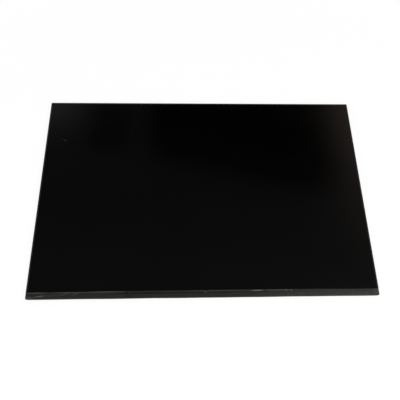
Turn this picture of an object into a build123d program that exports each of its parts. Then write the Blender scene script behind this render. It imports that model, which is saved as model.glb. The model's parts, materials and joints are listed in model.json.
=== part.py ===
"""A laptop's screen panel: a 14-inch, 16:10 edge-lit liquid-crystal module without screw ears.

It lies on its back with the screen up (+Z). +X is the viewer's right and +Y points to the top edge
of the picture. Z is zero on the surface that it lies on. All lengths are in millimetres.
Margins called an edge or an inset are measured inwards from the panel's own outline.
"""

import os

from build123d import *

# Picture area and the border round it
active_width = 301.6
active_height = 188.5
side_border = 2.6
top_border = 2.3
corner_radius = 0.8

# Thickness of each layer, from the back of the panel to its face
cover_film_t = 0.08
tallest_part = 1.1
board_t = 0.6
board_tape_t = 0.06
plate_t = 0.3
reflector_t = 0.15
guide_t = 0.5
diffuser_t = 0.1
prism_t = 0.15
brightness_t = 0.18
rim_tape_t = 0.06
rear_polariser_t = 0.12
array_glass_t = 0.25
filter_glass_t = 0.25
front_polariser_t = 0.15
tape_t = 0.07

# Back plate: a stamped tray with upturned walls, open corners and two raised lands for adhesive
wall_height = 1.2
plate_inner_bend = 0.2
relief_size = 1.6
land_width = 10.0
land_length = 150.0
land_inset = 8.0
land_rise = 0.1
land_draft = 30.0
land_centre_y = 12.0

# Mould frame: a ring inside the tray, with a lip round the glass and a shelf over the lamps
frame_play = 0.05
frame_bar = 1.33
lip_t = 0.55
shelf_t = 0.35
low_wall_t = 0.65
hook_length = 4.4
hook_height = 0.4
hook_reach = 0.24
hook_lift = 0.2
window_play = 0.15
side_hook_count = 4
side_hook_pitch = 46.0
top_hook_count = 5
top_hook_pitch = 58.0

# Liquid-crystal cell
glass_play = 0.1
glass_corner = 0.4
driver_ledge = 3.92
rear_polariser_inset = 0.3
edge_lap = 1.25
lower_lap = 0.6
polariser_gap = 0.1
polariser_overlap = 0.4

# Sheets of the backlight, with tabs that sit in pockets of the frame
sheet_play = 0.1
tab_width = 9.0
tab_reach = 0.6
tab_spacing = 190.0
rim_tape_width = 1.25
rim_tape_seat = 0.5
rim_tape_low_width = 2.6
rim_tape_low_grip = 0.7

# Light guide, thicker where the lamps shine into it
entry_t = 0.65
entry_flat = 1.0

# Row of lamps on their flexible circuit
flex_t = 0.1
flex_width = 2.2
flex_play = 0.1
lamp_width = 3.8
lamp_depth = 0.8
lamp_height = 0.6
lamp_pitch = 6.25
lamp_setback = 0.15
lamp_gap = 0.1
cup_rim = 0.12
cup_depth = 0.3
tail_width = 14.0
tail_x = 73.0
tail_bond = 2.2
tail_clearance = 0.12

# Driver films that turn round the lower edge, each with one chip
driver_count = 4
driver_pitch = 73.0
driver_film_t = 0.05
driver_film_width = 42.0
driver_bond = 3.0
driver_tail = 1.8
bend_gap = 0.05
bend_margin = 0.1
driver_chip_length = 24.0
driver_chip_width = 1.3
driver_chip_t = 0.4
driver_chip_margin = 0.4

# Lower tape, folded round the edge from the glass to the back of the board
tape_bend = 0.9
tape_rear_bend = 0.5
step_lead = 0.06
step_run = 0.4
step_round = 0.15

# Driver board and its cover film
board_length = 262.0
board_height = 13.6
board_corner = 0.8
chip_bay = 2.8
board_tape_inset = 1.0
cover_end = 8.0
cover_flange = 3.0
cover_low_flange = 3.5
cover_gap = 0.3
cover_slope = 1.5
cover_low_fold = 0.9

# Parts on the board, placed from its centre as seen from behind
part_row_y = 2.0
package_edge = 0.12
controller_x = 8.0
controller_size = 8.0
controller_t = 0.85
power_x = -30.0
power_size = 5.0
power_t = 0.8
shifter_x = 92.0
shifter_size = 6.0
shifter_t = 0.8
lamp_driver_x = -90.0
lamp_driver_size = 4.0
lamp_driver_t = 0.8
memory_x = 19.0
memory_length = 3.0
memory_width = 2.0
memory_t = 0.6
inductor_size = 4.0
inductor_edge = 0.5
inductor_places = (-105.0, -41.0, -20.0, 106.0)
diode_length = 2.6
diode_width = 1.6
diode_t = 0.9
diode_places = (-98.5, -82.0, -47.5)
capacitor_length = 1.6
capacitor_width = 0.8
capacitor_t = 0.8
resistor_length = 1.0
resistor_width = 0.5
resistor_t = 0.35
chip_row_gap = 1.4
row_count = 4
column_pitch = 1.5

# Cable receptacle: a tongue with a row of contacts inside a folded metal shell
receptacle_x = 50.0
receptacle_overhang = 0.15
contact_count = 30
contact_pitch = 0.5
contact_width = 0.2
contact_t = 0.08
contact_tail = 0.7
slot_play = 0.03
shell_t = 0.15
shell_height = 1.05
shell_depth = 4.0
shell_side = 2.0
shell_tab = 1.1
block_depth = 1.3
block_inset = 0.1
tongue_t = 0.32
tongue_rise = 0.25
tongue_inset = 0.35
receptacle_bay = 1.2

# Heights of the layers above the surface that the panel lies on
z_board_face = cover_film_t + tallest_part
z_board_back = z_board_face + board_t
z_rear = z_board_back + board_tape_t
z_floor = z_rear + plate_t
z_guide = z_floor + reflector_t
z_diffuser = z_guide + guide_t
z_lower_prism = z_diffuser + diffuser_t
z_upper_prism = z_lower_prism + prism_t
z_brightness = z_upper_prism + prism_t
z_ledge = z_brightness + brightness_t
z_rear_polariser = z_ledge + rim_tape_t
z_array = z_rear_polariser + rear_polariser_t
z_filter = z_array + array_glass_t
z_front = z_filter + filter_glass_t
z_face = z_front + front_polariser_t
z_wall = z_rear + wall_height
z_lip = z_wall + frame_play
z_wrap = z_board_face - flex_t - tape_t

# Edges along the lower side, from the tape's outer face inwards
bend_radius = (z_filter - z_board_face) / 2
bend_edge = tape_t + bend_gap + driver_film_t + bend_radius
array_edge = bend_edge + bend_margin
filter_edge = array_edge + driver_ledge
lap_edge = filter_edge + lower_lap
polariser_edge = lap_edge + polariser_gap
lower_border = polariser_edge + polariser_overlap
frame_low_edge = array_edge + plate_t + frame_play
bay_edge = frame_low_edge + low_wall_t
flex_edge = bay_edge + flex_play
lamp_edge = flex_edge + lamp_setback
guide_edge = lamp_edge + lamp_depth + lamp_gap
flex_end = flex_edge + flex_width
reflector_edge = flex_end + flex_play
shelf_edge = reflector_edge + flex_play
sheet_edge = shelf_edge + sheet_play
board_edge = array_edge + chip_bay
tail_bend = array_edge - tail_clearance
cover_fold_edge = lap_edge + cover_low_fold
cover_flat_edge = cover_fold_edge + cover_slope
cover_top_edge = board_edge + board_height + cover_gap

# Insets of the pieces along the other three sides
plate_bend = plate_t + plate_inner_bend
frame_inset = tape_t + plate_t + frame_play
window_inset = frame_inset + frame_bar
sheet_inset = window_inset + sheet_play
lip_inner = tape_t + lip_t
glass_inset = lip_inner + glass_play
polariser_inset = edge_lap + polariser_gap
rim_tape_inset = frame_inset + rim_tape_seat

# Overall size
panel_width = active_width + 2 * side_border
panel_height = active_height + top_border + lower_border
low_y = -panel_height / 2
high_y = panel_height / 2

# The board's component face, seen from behind: its x runs to the viewer's left
board_y = low_y + board_edge + board_height / 2
board_plane = Plane(origin=(0, board_y, z_board_face), x_dir=(-1, 0, 0), z_dir=(0, 0, -1))
receptacle_width = contact_count * contact_pitch + 2 * shell_side
receptacle_mouth = board_height / 2 + receptacle_overhang


def outline(side, top, low, radius=0.0, mode=Mode.ADD):
    """Draw a rectangle set in from the panel's outline by the given insets."""
    width = panel_width - 2 * side
    height = panel_height - top - low
    with Locations((0, (low - top) / 2)):
        if radius > 0:
            RectangleRounded(width, height, radius, mode=mode)
        else:
            Rectangle(width, height, mode=mode)


def layer(z_low, z_high, side, top, low, mode=Mode.ADD):
    """Add a flat layer between two heights, set in from the panel's outline."""
    with BuildSketch(Plane.XY.offset(z_low)) as shape:
        outline(side, top, low)
    extrude(shape.sketch, amount=z_high - z_low, mode=mode)


def save(piece, name):
    """Label a finished piece and write it as its own file."""
    piece.part.label = name
    export_step(piece.part, f"parts/{name}.step")


def hairpin(x_start, front_end, rear_end, bend, z_upper, z_lower, thickness):
    """Draw the section of a strip that runs out, turns round the lower edge and comes back."""
    radius = (z_upper - z_lower) / 2
    centre = (low_y + bend, (z_upper + z_lower) / 2)
    with BuildSketch(Plane.YZ.offset(x_start)) as section:
        with BuildLine():
            Line((low_y + front_end, z_upper), (low_y + bend, z_upper))
            CenterArc(centre, radius, 90, 180)
            Line((low_y + bend, z_lower), (low_y + rear_end, z_lower))
            Line((low_y + rear_end, z_lower), (low_y + rear_end, z_lower - thickness))
            Line((low_y + rear_end, z_lower - thickness), (low_y + bend, z_lower - thickness))
            CenterArc(centre, radius + thickness, 90, 180)
            Line((low_y + bend, z_upper + thickness), (low_y + front_end, z_upper + thickness))
            Line((low_y + front_end, z_upper + thickness), (low_y + front_end, z_upper))
        make_face()
    return section.sketch


def tabs(z_low, z_high, play=0.0, mode=Mode.ADD):
    """Add the sheets' locating tabs along the top edge, or cut their pockets with some play."""
    depth = tab_reach + sheet_play + play
    with BuildSketch(Plane.XY.offset(z_low)) as shape:
        with Locations((0, high_y - sheet_inset)):
            with GridLocations(tab_spacing, 0, 2, 1):
                Rectangle(tab_width + 2 * play, 2 * depth)
    extrude(shape.sketch, amount=z_high - z_low, mode=mode)


def hook_places():
    """Give the frame's hook positions on the left, right and top walls, turned outwards."""
    side_x = panel_width / 2 - frame_inset
    top_y = high_y - frame_inset
    places = []
    for index in range(side_hook_count):
        y = (index - (side_hook_count - 1) / 2) * side_hook_pitch
        places.append(Location((side_x, y, z_floor + hook_lift), (0, 0, -90)))
        places.append(Location((-side_x, y, z_floor + hook_lift), (0, 0, 90)))
    for index in range(top_hook_count):
        x = (index - (top_hook_count - 1) / 2) * top_hook_pitch
        places.append(Location((x, top_y, z_floor + hook_lift)))
    return places


os.makedirs("parts", exist_ok=True)

# Glass cell: two sheets of glass between two polarising films
with BuildPart() as front_polariser:
    layer(z_front, z_face, polariser_inset, polariser_inset, polariser_edge)
save(front_polariser, "front_polariser")

with BuildPart() as colour_filter_glass:
    layer(z_filter, z_front, glass_inset, glass_inset, filter_edge)
    chamfer(colour_filter_glass.edges().filter_by(Axis.Z), length=glass_corner)
save(colour_filter_glass, "colour_filter_glass")

with BuildPart() as array_glass:
    layer(z_array, z_filter, glass_inset, glass_inset, array_edge)
    chamfer(array_glass.edges().filter_by(Axis.Z), length=glass_corner)
save(array_glass, "array_glass")

rear_film_inset = glass_inset + rear_polariser_inset
rim_tape_low_edge = shelf_edge + rim_tape_low_grip - rim_tape_low_width
with BuildPart() as rear_polariser:
    layer(z_rear_polariser, z_array, rear_film_inset, rear_film_inset, rim_tape_low_edge)
save(rear_polariser, "rear_polariser")

# Stamped tray
with BuildPart() as back_plate:
    layer(z_rear, z_wall, tape_t, tape_t, array_edge)
    fillet(back_plate.faces().sort_by(Axis.Z)[0].edges(), radius=plate_bend)
    offset(amount=-plate_t, openings=back_plate.faces().sort_by(Axis.Z)[-1])
    with BuildSketch(Plane.XY.offset(z_rear + plate_bend)):
        with Locations((0, (array_edge - tape_t) / 2)):
            with GridLocations(panel_width - 2 * tape_t, panel_height - tape_t - array_edge, 2, 2):
                Rectangle(2 * relief_size, 2 * relief_size)
    extrude(amount=wall_height, mode=Mode.SUBTRACT)
    # Rounded corners of the floor, which stay inside those of the tapes
    with BuildSketch(Plane.XY.offset(z_rear)):
        outline(tape_t, tape_t, array_edge, radius=corner_radius)
    extrude(amount=wall_height, mode=Mode.INTERSECT)
    # Windows for the frame's hooks
    with Locations(*hook_places()):
        with Locations((0, 0, hook_height / 2)):
            Box(
                hook_length + 2 * window_play,
                2 * (plate_t + 2 * frame_play),
                hook_height + 2 * window_play,
                mode=Mode.SUBTRACT,
            )
    # Way out for the tail of the lamps' flexible circuit
    with BuildSketch(Plane.XY.offset(z_floor)):
        with Locations((tail_x, low_y + array_edge)):
            Rectangle(tail_width + 2 * tail_clearance, 2 * plate_bend)
    extrude(amount=wall_height, mode=Mode.SUBTRACT)
    # Raised lands for the adhesive, left and right
    land_x = panel_width - 2 * land_inset - land_width
    with BuildSketch(Plane.XY.offset(z_rear)):
        with Locations((0, land_centre_y)):
            with GridLocations(land_x, 0, 2, 1):
                Rectangle(land_width, land_length)
    extrude(amount=-land_rise, taper=land_draft)
    with BuildSketch(Plane.XY.offset(z_floor)):
        with Locations((0, land_centre_y)):
            with GridLocations(land_x, 0, 2, 1):
                Rectangle(land_width - 2 * plate_t, land_length - 2 * plate_t)
    extrude(amount=-land_rise, taper=land_draft, mode=Mode.SUBTRACT)
save(back_plate, "back_plate")

# Snap hook: it tapers downwards so that the frame can be pushed into the tray
with BuildPart() as hook:
    with BuildSketch(Plane.YZ):
        with BuildLine():
            Polyline(
                (-frame_bar / 2, 0),
                (0, 0),
                (hook_reach, hook_height),
                (-frame_bar / 2, hook_height),
                close=True,
            )
        make_face()
    extrude(amount=hook_length / 2, both=True)

# Moulded ring
with BuildPart() as mould_frame:
    layer(z_floor, z_ledge, frame_inset, frame_inset, frame_low_edge)
    chamfer(mould_frame.faces().sort_by(Axis.Z)[0].edges(), length=plate_inner_bend)
    layer(z_floor, z_ledge, window_inset, window_inset, shelf_edge, Mode.SUBTRACT)
    layer(z_floor, z_ledge - shelf_t, window_inset, window_inset, bay_edge, Mode.SUBTRACT)
    tabs(z_floor, z_ledge, play=sheet_play, mode=Mode.SUBTRACT)
    # Lip round the left, top and right sides of the glass
    with BuildSketch(Plane.XY.offset(z_lip)):
        outline(tape_t, tape_t, array_edge, radius=corner_radius - tape_t)
        outline(lip_inner, lip_inner, -lap_edge, mode=Mode.SUBTRACT)
    extrude(amount=z_front - z_lip)
    # The lip drops to the driver ledge beside the lower tape
    with BuildSketch(Plane.XY.offset(z_filter)):
        with Locations((0, low_y)):
            Rectangle(panel_width, 2 * filter_edge)
    extrude(amount=z_face - z_filter, mode=Mode.SUBTRACT)
    with Locations(*hook_places()):
        add(hook.part)
    # Way out for the tail of the lamps' flexible circuit
    with BuildSketch(Plane.XY.offset(z_floor)):
        with Locations((tail_x, low_y + bay_edge)):
            Rectangle(tail_width + 2 * tail_clearance, 2 * (bay_edge - array_edge))
    extrude(amount=flex_t + frame_play, mode=Mode.SUBTRACT)
save(mould_frame, "mould_frame")

# Sheets of the backlight, from the back to the front
with BuildPart() as reflector_sheet:
    layer(z_floor, z_guide, sheet_inset, sheet_inset, reflector_edge)
    tabs(z_floor, z_guide)
save(reflector_sheet, "reflector_sheet")

guide_width = panel_width - 2 * sheet_inset
with BuildPart() as light_guide:
    with BuildSketch(Plane.YZ.offset(-guide_width / 2)):
        with BuildLine():
            entry_y = low_y + guide_edge
            Polyline(
                (entry_y, z_guide),
                (entry_y, z_guide + entry_t),
                (entry_y + entry_flat, z_guide + entry_t),
                (low_y + shelf_edge, z_guide + guide_t),
                (high_y - sheet_inset, z_guide + guide_t),
                (high_y - sheet_inset, z_guide),
                close=True,
            )
        make_face()
    extrude(amount=guide_width)
    tabs(z_guide, z_diffuser)
save(light_guide, "light_guide")

sheets = {
    "diffuser_sheet": (z_diffuser, z_lower_prism),
    "lower_prism_sheet": (z_lower_prism, z_upper_prism),
    "upper_prism_sheet": (z_upper_prism, z_brightness),
    "brightness_film": (z_brightness, z_ledge),
}
for sheet_name, (sheet_low, sheet_high) in sheets.items():
    with BuildPart() as sheet:
        layer(sheet_low, sheet_high, sheet_inset, sheet_inset, sheet_edge)
        tabs(sheet_low, sheet_high)
    save(sheet, sheet_name)

# Tape that bridges the frame and the top sheet, and carries the cell
with BuildPart() as rim_tape:
    rim_tape_inner = rim_tape_inset + rim_tape_width
    layer(z_ledge, z_rear_polariser, rim_tape_inset, rim_tape_inset, rim_tape_low_edge)
    layer(
        z_ledge,
        z_rear_polariser,
        rim_tape_inner,
        rim_tape_inner,
        rim_tape_low_edge + rim_tape_low_width,
        Mode.SUBTRACT,
    )
save(rim_tape, "rim_tape")

# Lamps along the lower edge of the light guide
lamp_span = guide_width - lamp_width
lamp_count = int(lamp_span / lamp_pitch) + 1
with BuildPart() as lamp_flex:
    with BuildSketch(Plane.XY.offset(z_floor)):
        with Locations((0, low_y + flex_edge + flex_width / 2)):
            Rectangle(guide_width, flex_width)
    extrude(amount=flex_t)
    tail_section = hairpin(
        tail_x - tail_width / 2,
        flex_edge,
        board_edge + tail_bond,
        tail_bend,
        z_floor,
        z_board_face,
        flex_t,
    )
    extrude(tail_section, amount=tail_width)
save(lamp_flex, "lamp_flex")

lamp_y = low_y + lamp_edge + lamp_depth / 2
with BuildPart() as lamps:
    with BuildSketch(Plane.XY.offset(z_floor + flex_t)):
        with Locations((0, lamp_y)):
            with GridLocations(lamp_pitch, 0, lamp_count, 1):
                Rectangle(lamp_width, lamp_depth)
    extrude(amount=lamp_height)
    # Cup that faces the light guide
    with BuildSketch(Plane.XZ.offset(-lamp_y - lamp_depth / 2)):
        with Locations((0, z_floor + flex_t + lamp_height / 2)):
            with GridLocations(lamp_pitch, 0, lamp_count, 1):
                Rectangle(lamp_width - 2 * cup_rim, lamp_height - 2 * cup_rim)
    extrude(amount=cup_depth, mode=Mode.SUBTRACT)
save(lamps, "lamps")

# Driver films and the chips on their inner side
chip_y = low_y + array_edge + driver_chip_margin + driver_chip_width / 2
for index in range(driver_count):
    film_x = (index - (driver_count - 1) / 2) * driver_pitch
    with BuildPart() as driver_film:
        film_section = hairpin(
            film_x - driver_film_width / 2,
            array_edge + driver_bond,
            board_edge + driver_tail,
            bend_edge,
            z_filter,
            z_board_face,
            driver_film_t,
        )
        extrude(film_section, amount=driver_film_width)
    save(driver_film, f"driver_film_{index + 1}")
    with BuildPart() as driver_chip:
        with BuildSketch(Plane.XY.offset(z_board_face)):
            with Locations((film_x, chip_y)):
                Rectangle(driver_chip_length, driver_chip_width)
        extrude(amount=driver_chip_t)
    save(driver_chip, f"driver_chip_{index + 1}")


def wrap_section(inset, open_edge):
    """Draw the space inside the lower tape's outer face, or inside its inner face."""
    lap_z = z_front + tape_t - inset
    strip_z = z_filter + driver_film_t + tape_t - inset
    rear_z = z_wrap + inset
    step_y = low_y + filter_edge - step_lead
    start = (low_y + open_edge, lap_z)
    end = (low_y + open_edge, rear_z)
    with BuildSketch(Plane.YZ) as section:
        with BuildLine():
            FilletPolyline(
                start,
                (step_y, lap_z),
                (step_y - step_run, strip_z),
                (low_y + inset, strip_z),
                (low_y + inset, rear_z),
                end,
                radius=(step_round, step_round, tape_bend - inset, tape_rear_bend - inset),
            )
            Line(end, start)
        make_face()
    return section.sketch


# Lower tape: one sheet that laps the glass, steps down to the driver ledge, folds round the edge
# and its two corners, and comes back behind the board
with BuildPart() as lower_tape_core:
    extrude(wrap_section(tape_t, 2 * lap_edge), amount=panel_width, both=True)
    with BuildSketch(Plane.XY):
        outline(tape_t, 0, tape_t, radius=corner_radius - tape_t)
    extrude(amount=z_face, mode=Mode.INTERSECT)

with BuildPart() as lower_edge_tape:
    extrude(wrap_section(0, lap_edge), amount=panel_width, both=True)
    with BuildSketch(Plane.XY):
        outline(0, 0, 0, radius=corner_radius)
    extrude(amount=z_face, mode=Mode.INTERSECT)
    add(lower_tape_core.part, mode=Mode.SUBTRACT)
save(lower_edge_tape, "lower_edge_tape")

# Edge tapes: a wall round the tray and the frame, with a lap on the rim of the glass
with BuildPart() as edge_wrap:
    with BuildSketch(Plane.XY.offset(z_rear + plate_bend)):
        outline(0, 0, polariser_edge, radius=corner_radius)
        with Locations((0, low_y + polariser_edge)):
            Rectangle(panel_width, 4 * corner_radius)
    extrude(amount=z_front + tape_t - z_rear - plate_bend)
    with BuildSketch(Plane.XY.offset(z_rear + plate_bend)):
        outline(tape_t, tape_t, -lap_edge, radius=corner_radius - tape_t)
    extrude(amount=z_front - z_rear - plate_bend, mode=Mode.SUBTRACT)
    layer(z_front, z_face, edge_lap, edge_lap, -lap_edge, Mode.SUBTRACT)
    with BuildSketch(Plane.XY):
        with Locations((0, low_y)):
            Rectangle(2 * panel_width, 2 * polariser_edge)
    extrude(amount=z_face, mode=Mode.SUBTRACT)

tape_joint = Plane(origin=(0, high_y - edge_lap, 0), z_dir=(0, 1, 0))
with BuildPart() as top_edge_tape:
    add(edge_wrap.part)
    split(bisect_by=tape_joint, keep=Keep.TOP)
save(top_edge_tape, "top_edge_tape")

with BuildPart() as right_edge_tape:
    add(edge_wrap.part)
    split(bisect_by=tape_joint.offset(-polariser_gap), keep=Keep.BOTTOM)
    split(bisect_by=Plane.YZ, keep=Keep.TOP)
save(right_edge_tape, "right_edge_tape")

with BuildPart() as left_edge_tape:
    add(right_edge_tape.part)
    mirror(about=Plane.YZ, mode=Mode.REPLACE)
save(left_edge_tape, "left_edge_tape")

# Driver board behind the lower edge, and the tape that holds it to the tray
with BuildPart() as driver_board:
    with BuildSketch(board_plane):
        RectangleRounded(board_length, board_height, board_corner)
    extrude(amount=-board_t)
save(driver_board, "driver_board")

with BuildPart() as board_tape:
    with BuildSketch(board_plane.offset(-board_t)):
        Rectangle(board_length - 2 * board_tape_inset, board_height - 2 * board_tape_inset)
    extrude(amount=-board_tape_t)
save(board_tape, "board_tape")

# Chip packages, with softened upper edges
packages = {
    "timing_controller": (controller_x, controller_size, controller_size, controller_t),
    "power_chip": (power_x, power_size, power_size, power_t),
    "level_shifter": (shifter_x, shifter_size, shifter_size, shifter_t),
    "lamp_driver": (lamp_driver_x, lamp_driver_size, lamp_driver_size, lamp_driver_t),
    "memory_chip": (memory_x, memory_length, memory_width, memory_t),
}
for package_name, (package_x, length, width, height) in packages.items():
    with BuildPart() as package:
        with BuildSketch(board_plane):
            with Locations((package_x, part_row_y)):
                Rectangle(length, width)
        extrude(amount=height)
        chamfer(package.faces().sort_by(Axis.Z)[0].edges(), length=package_edge)
    save(package, package_name)

with BuildPart() as inductors:
    with BuildSketch(board_plane):
        with Locations(*[(x, part_row_y) for x in inductor_places]):
            Rectangle(inductor_size, inductor_size)
    extrude(amount=tallest_part)
    chamfer(inductors.edges().filter_by(Axis.Z), length=inductor_edge)
save(inductors, "inductors")

with BuildPart() as diodes:
    with BuildSketch(board_plane):
        with Locations(*[(x, part_row_y) for x in diode_places]):
            Rectangle(diode_length, diode_width)
    extrude(amount=diode_t)
    chamfer(diodes.faces().filter_by(Axis.Z).group_by(Axis.Z)[0].edges(), length=package_edge)
save(diodes, "diodes")

# Capacitors stand in a column on the left of each chip and resistors on its right
main_chips = ("timing_controller", "power_chip", "level_shifter", "lamp_driver")
with BuildPart() as capacitors:
    for chip_name in main_chips:
        chip_x, chip_size = packages[chip_name][:2]
        with BuildSketch(board_plane):
            with Locations((chip_x - chip_size / 2 - chip_row_gap, part_row_y)):
                with GridLocations(0, column_pitch, 1, row_count):
                    Rectangle(capacitor_length, capacitor_width)
        extrude(amount=capacitor_t)
save(capacitors, "capacitors")

with BuildPart() as resistors:
    for chip_name in main_chips:
        chip_x, chip_size = packages[chip_name][:2]
        with BuildSketch(board_plane):
            with Locations((chip_x + chip_size / 2 + chip_row_gap, part_row_y)):
                with GridLocations(0, column_pitch, 1, row_count):
                    Rectangle(resistor_length, resistor_width)
        extrude(amount=resistor_t)
save(resistors, "resistors")

# Cable receptacle at the board's upper edge, its mouth towards +Y
mouth_origin = (-receptacle_x, board_y + receptacle_mouth, z_board_face)
mouth_plane = Plane(origin=mouth_origin, x_dir=(-1, 0, 0), z_dir=(0, -1, 0))
contact_plane = Plane(origin=mouth_origin, x_dir=(0, -1, 0), z_dir=(1, 0, 0))
inner_width = receptacle_width - 2 * shell_t
block_height = shell_height - shell_t
tongue_top = tongue_rise + tongue_t
row_width = contact_count * contact_pitch

with BuildPart() as receptacle_insulator:
    with BuildSketch(mouth_plane.offset(shell_depth - block_depth)):
        Rectangle(inner_width - 2 * block_inset, block_height, align=(Align.CENTER, Align.MIN))
        with Locations((0, tongue_top)):
            with GridLocations(contact_pitch, 0, contact_count, 1):
                Rectangle(
                    contact_width + 2 * slot_play,
                    block_height,
                    align=(Align.CENTER, Align.MIN),
                    mode=Mode.SUBTRACT,
                )
    extrude(amount=block_depth)
    with BuildSketch(mouth_plane.offset(tongue_inset)):
        with Locations((0, tongue_rise)):
            Rectangle(row_width, tongue_t, align=(Align.CENTER, Align.MIN))
    extrude(amount=shell_depth - tongue_inset - block_depth / 2)
save(receptacle_insulator, "receptacle_insulator")

with BuildPart() as receptacle_shell:
    with BuildSketch(mouth_plane):
        Rectangle(receptacle_width, shell_height, align=(Align.CENTER, Align.MIN))
        Rectangle(inner_width, block_height, align=(Align.CENTER, Align.MIN), mode=Mode.SUBTRACT)
    extrude(amount=shell_depth)
    bend_edges = receptacle_shell.edges().filter_by(Axis.Y).group_by(Axis.Z)[0]
    fillet(bend_edges, radius=shell_t)
    # Solder feet, two on each side
    foot_span = shell_depth - shell_tab
    with BuildSketch(board_plane):
        with Locations((receptacle_x, receptacle_mouth - shell_depth / 2)):
            with GridLocations(receptacle_width + shell_tab - shell_t, foot_span, 2, 2):
                Rectangle(shell_tab + shell_t, shell_tab)
    extrude(amount=shell_t)
save(receptacle_shell, "receptacle_shell")

# One contact: it lies on the tongue, passes the block and comes down to the board
with BuildPart() as contact:
    with BuildSketch(contact_plane):
        with BuildLine():
            Polyline(
                (tongue_inset, tongue_top),
                (shell_depth, tongue_top),
                (shell_depth, 0),
                (shell_depth + contact_tail, 0),
                (shell_depth + contact_tail, contact_t),
                (shell_depth + contact_t, contact_t),
                (shell_depth + contact_t, tongue_top + contact_t),
                (tongue_inset, tongue_top + contact_t),
                close=True,
            )
        make_face()
    extrude(amount=contact_width / 2, both=True)

with BuildPart() as receptacle_contacts:
    with GridLocations(contact_pitch, 0, contact_count, 1):
        add(contact.part)
save(receptacle_contacts, "receptacle_contacts")

# Cover film: a shallow tent over the board, stuck down to the tray on three sides and to the lower
# tape on the fourth, with a bay cut out round the receptacle
cover_half = board_length / 2 + cover_end
cover_high_edge = cover_top_edge + cover_slope


def cover_space(lift):
    """Make the space under the film's outer face, or under its inner face when lifted."""
    with BuildPart() as space:
        with BuildSketch(Plane.YZ):
            with BuildLine():
                Polyline(
                    (low_y + cover_fold_edge, z_wrap - cover_film_t + lift),
                    (low_y + cover_flat_edge, lift),
                    (low_y + cover_top_edge, lift),
                    (low_y + cover_high_edge, z_rear - cover_film_t + lift),
                    (low_y + cover_high_edge, z_rear + lift),
                    (low_y + cover_fold_edge, z_rear + lift),
                    close=True,
                )
            make_face()
        extrude(amount=cover_half, both=True)
        with BuildSketch(Plane.XZ):
            with BuildLine():
                Polyline(
                    (-cover_half + cover_slope, lift),
                    (cover_half - cover_slope, lift),
                    (cover_half, z_rear - cover_film_t + lift),
                    (cover_half, z_rear + lift),
                    (-cover_half, z_rear + lift),
                    (-cover_half, z_rear - cover_film_t + lift),
                    close=True,
                )
            make_face()
        extrude(amount=panel_height, both=True, mode=Mode.INTERSECT)
    return space.part


film_space = cover_space(cover_film_t)
tent_space = cover_space(0)
flange_span = cover_high_edge + cover_flange - cover_fold_edge
with BuildPart() as board_cover_film:
    add(tent_space)
    add(film_space, mode=Mode.SUBTRACT)
    # Flanges on the tray, along the top and at both ends
    with BuildSketch(Plane.XY.offset(z_rear - cover_film_t)):
        with Locations((0, low_y + cover_fold_edge)):
            Rectangle(2 * (cover_half + cover_flange), flange_span, align=(Align.CENTER, Align.MIN))
            Rectangle(
                2 * cover_half,
                cover_high_edge - cover_fold_edge,
                align=(Align.CENTER, Align.MIN),
                mode=Mode.SUBTRACT,
            )
    extrude(amount=cover_film_t)
    # Flange on the lower tape
    with BuildSketch(Plane.XY.offset(z_wrap - cover_film_t)):
        with Locations((0, low_y + cover_fold_edge)):
            Rectangle(2 * (cover_half - cover_slope), cover_low_flange, align=(Align.CENTER, Align.MAX))
    extrude(amount=cover_film_t)
    # Bay round the receptacle, open to the upper side
    bay_width = receptacle_width + 2 * (shell_tab + receptacle_bay)
    bay_y = board_y + receptacle_mouth - shell_depth - contact_tail - receptacle_bay
    with BuildSketch(Plane.XY):
        with Locations((-receptacle_x, bay_y)):
            Rectangle(bay_width, flange_span, align=(Align.CENTER, Align.MIN))
    extrude(amount=z_rear, mode=Mode.SUBTRACT)
save(board_cover_film, "board_cover_film")
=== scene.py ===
"""Looks of a laptop's screen panel: its finishes, the creased tape along its lower edge, and the studio.

Lengths are in metres, in the part's own frame: +X is the viewer's right, +Y points to the top edge of
the picture and +Z out of the screen. An edge is a distance inwards from the panel's lower outline.
"""

import json
import math

import bmesh
import bpy
from mathutils import Matrix, Vector, noise


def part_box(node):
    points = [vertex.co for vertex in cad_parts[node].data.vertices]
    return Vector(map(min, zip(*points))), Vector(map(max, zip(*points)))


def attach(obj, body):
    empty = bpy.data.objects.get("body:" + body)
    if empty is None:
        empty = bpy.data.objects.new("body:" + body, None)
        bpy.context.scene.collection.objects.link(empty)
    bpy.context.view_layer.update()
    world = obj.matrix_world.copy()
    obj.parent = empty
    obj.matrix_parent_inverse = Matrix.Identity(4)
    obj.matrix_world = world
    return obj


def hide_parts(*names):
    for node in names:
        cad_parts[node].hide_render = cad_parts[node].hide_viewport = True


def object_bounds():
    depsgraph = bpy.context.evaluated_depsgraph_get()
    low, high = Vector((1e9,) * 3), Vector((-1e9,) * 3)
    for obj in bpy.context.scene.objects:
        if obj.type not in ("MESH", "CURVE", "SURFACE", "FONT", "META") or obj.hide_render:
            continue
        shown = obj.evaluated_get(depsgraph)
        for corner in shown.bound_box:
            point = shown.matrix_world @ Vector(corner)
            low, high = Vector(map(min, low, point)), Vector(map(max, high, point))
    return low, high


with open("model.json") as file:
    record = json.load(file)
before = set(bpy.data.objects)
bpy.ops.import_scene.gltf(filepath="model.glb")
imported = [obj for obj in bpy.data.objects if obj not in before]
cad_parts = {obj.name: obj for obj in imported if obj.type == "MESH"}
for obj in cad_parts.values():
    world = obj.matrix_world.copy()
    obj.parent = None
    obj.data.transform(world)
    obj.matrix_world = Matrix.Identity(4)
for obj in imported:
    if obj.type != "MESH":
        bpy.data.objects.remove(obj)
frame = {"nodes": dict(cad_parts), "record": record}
cad_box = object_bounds()

MM = 0.001

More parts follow.
